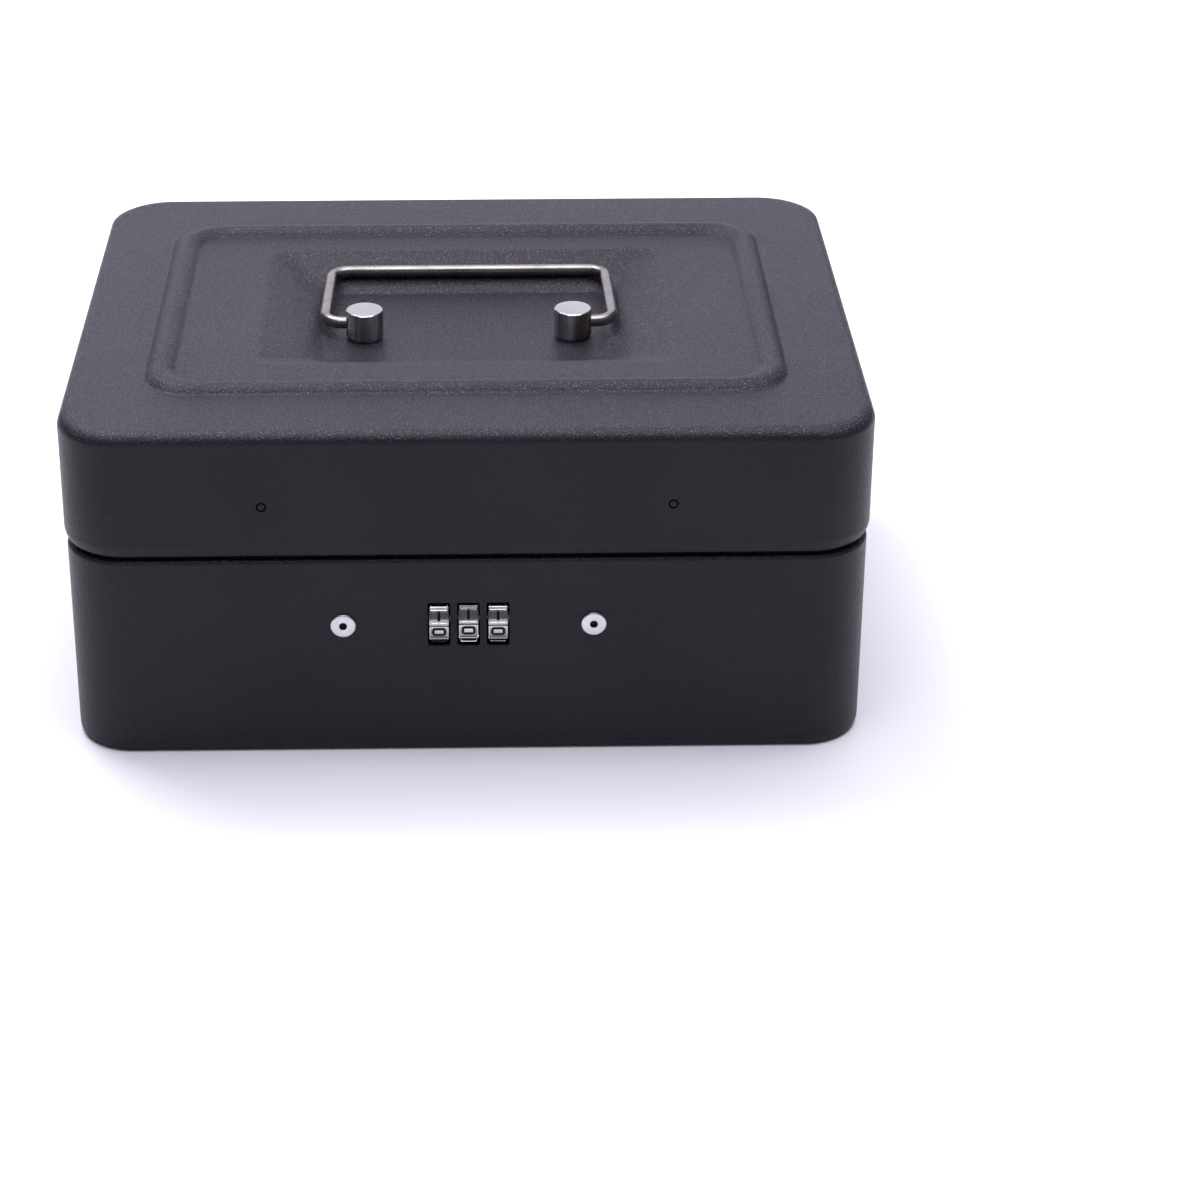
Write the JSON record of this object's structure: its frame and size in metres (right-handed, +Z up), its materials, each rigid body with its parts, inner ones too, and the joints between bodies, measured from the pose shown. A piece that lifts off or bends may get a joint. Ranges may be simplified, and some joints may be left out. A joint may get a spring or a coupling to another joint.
{
  "type": "cash box",
  "caption": "Lidded steel cash box with front combination dials, a folding bail handle in a sunk dish on the lid, a rear hinge and a lift-out coin tray.",
  "frame": {"origin": "centre of the base's flat underside", "axes": "+X to the right along the long side, +Y to the rear, where the hinge is, +Z up"},
  "size_m": [0.2, 0.1664, 0.0901],
  "materials": {
    "black_powder_coat": "fine-textured black powder coat, satin",
    "zinc_steel": "zinc-plated, dull",
    "bright_steel": "bright drawn wire",
    "rivet_aluminium": "satin",
    "dark_chrome": "polished nickel",
    "dial_chrome": "polished, numbers filled in black",
    "sleeve_brass": "turned",
    "tray_plastic": "fine moulded grain"
  },
  "bodies": {
    "base": {"base_shell": "black_powder_coat", "base_hinge_leaf": "black_powder_coat", "hinge_pin": "zinc_steel", "base_hinge_rivet_left": "black_powder_coat", "base_hinge_rivet_middle": "black_powder_coat", "base_hinge_rivet_right": "black_powder_coat", "lock_case": "zinc_steel", "lock_cover": "zinc_steel", "detent_spring": "bright_steel", "lock_rivet_left": "rivet_aluminium", "lock_rivet_right": "rivet_aluminium", "cover_screw_left": "zinc_steel", "cover_screw_right": "zinc_steel"},
    "lid": {"lid_shell": "black_powder_coat", "lid_hinge_leaf": "black_powder_coat", "lid_hinge_rivet_left": "black_powder_coat", "lid_hinge_rivet_middle": "black_powder_coat", "lid_hinge_rivet_right": "black_powder_coat", "catch_plate": "zinc_steel", "catch_rivet_left": "black_powder_coat", "catch_rivet_right": "black_powder_coat", "handle_post_left": "dark_chrome", "handle_post_right": "dark_chrome", "post_washer_left": "zinc_steel", "post_washer_right": "zinc_steel", "post_screw_left": "zinc_steel", "post_screw_right": "zinc_steel"},
    "handle": {"handle_bail": "bright_steel"},
    "dial_1": {"dial_wheel_1": "dial_chrome", "dial_sleeve_1": "sleeve_brass"},
    "dial_2": {"dial_wheel_2": "dial_chrome", "dial_sleeve_2": "sleeve_brass"},
    "dial_3": {"dial_wheel_3": "dial_chrome", "dial_sleeve_3": "sleeve_brass"},
    "code_change": {"code_lever": "zinc_steel", "dial_spindle": "bright_steel", "spindle_spring": "bright_steel"},
    "tray": {"coin_tray": "tray_plastic"}
  },
  "joints": [
    {"name": "lid_hinge", "type": "hinge", "parent": "base", "child": "lid", "pos_m": [0, 0.0826, 0.0558], "axis": [-1, 0, 0], "range_deg": [0, 105]},
    {"name": "handle_fold", "type": "hinge", "parent": "lid", "child": "handle", "pos_m": [0.0007, -0.0071, 0.0863], "axis": [1, 0, 0], "range_deg": [0, 172]},
    {"name": "dial_1_turn", "type": "hinge", "parent": "base", "child": "dial_1", "pos_m": [-0.0073, -0.0749, 0.036], "axis": [1, 0, 0], "continuous": true},
    {"name": "dial_2_turn", "type": "hinge", "parent": "base", "child": "dial_2", "pos_m": [0, -0.0749, 0.036], "axis": [1, 0, 0], "continuous": true},
    {"name": "dial_3_turn", "type": "hinge", "parent": "base", "child": "dial_3", "pos_m": [0.0073, -0.0749, 0.036], "axis": [1, 0, 0], "continuous": true},
    {"name": "code_lever_slide", "type": "slide", "parent": "base", "child": "code_change", "axis": [1, 0, 0], "range_m": [0, 0.0025], "stiffness_N_per_m": 300, "springref_m": -0.003},
    {"name": "tray_lift", "type": "slide", "parent": "base", "child": "tray", "axis": [0, 0, 1], "range_m": [0, 0.025]}
  ]
}
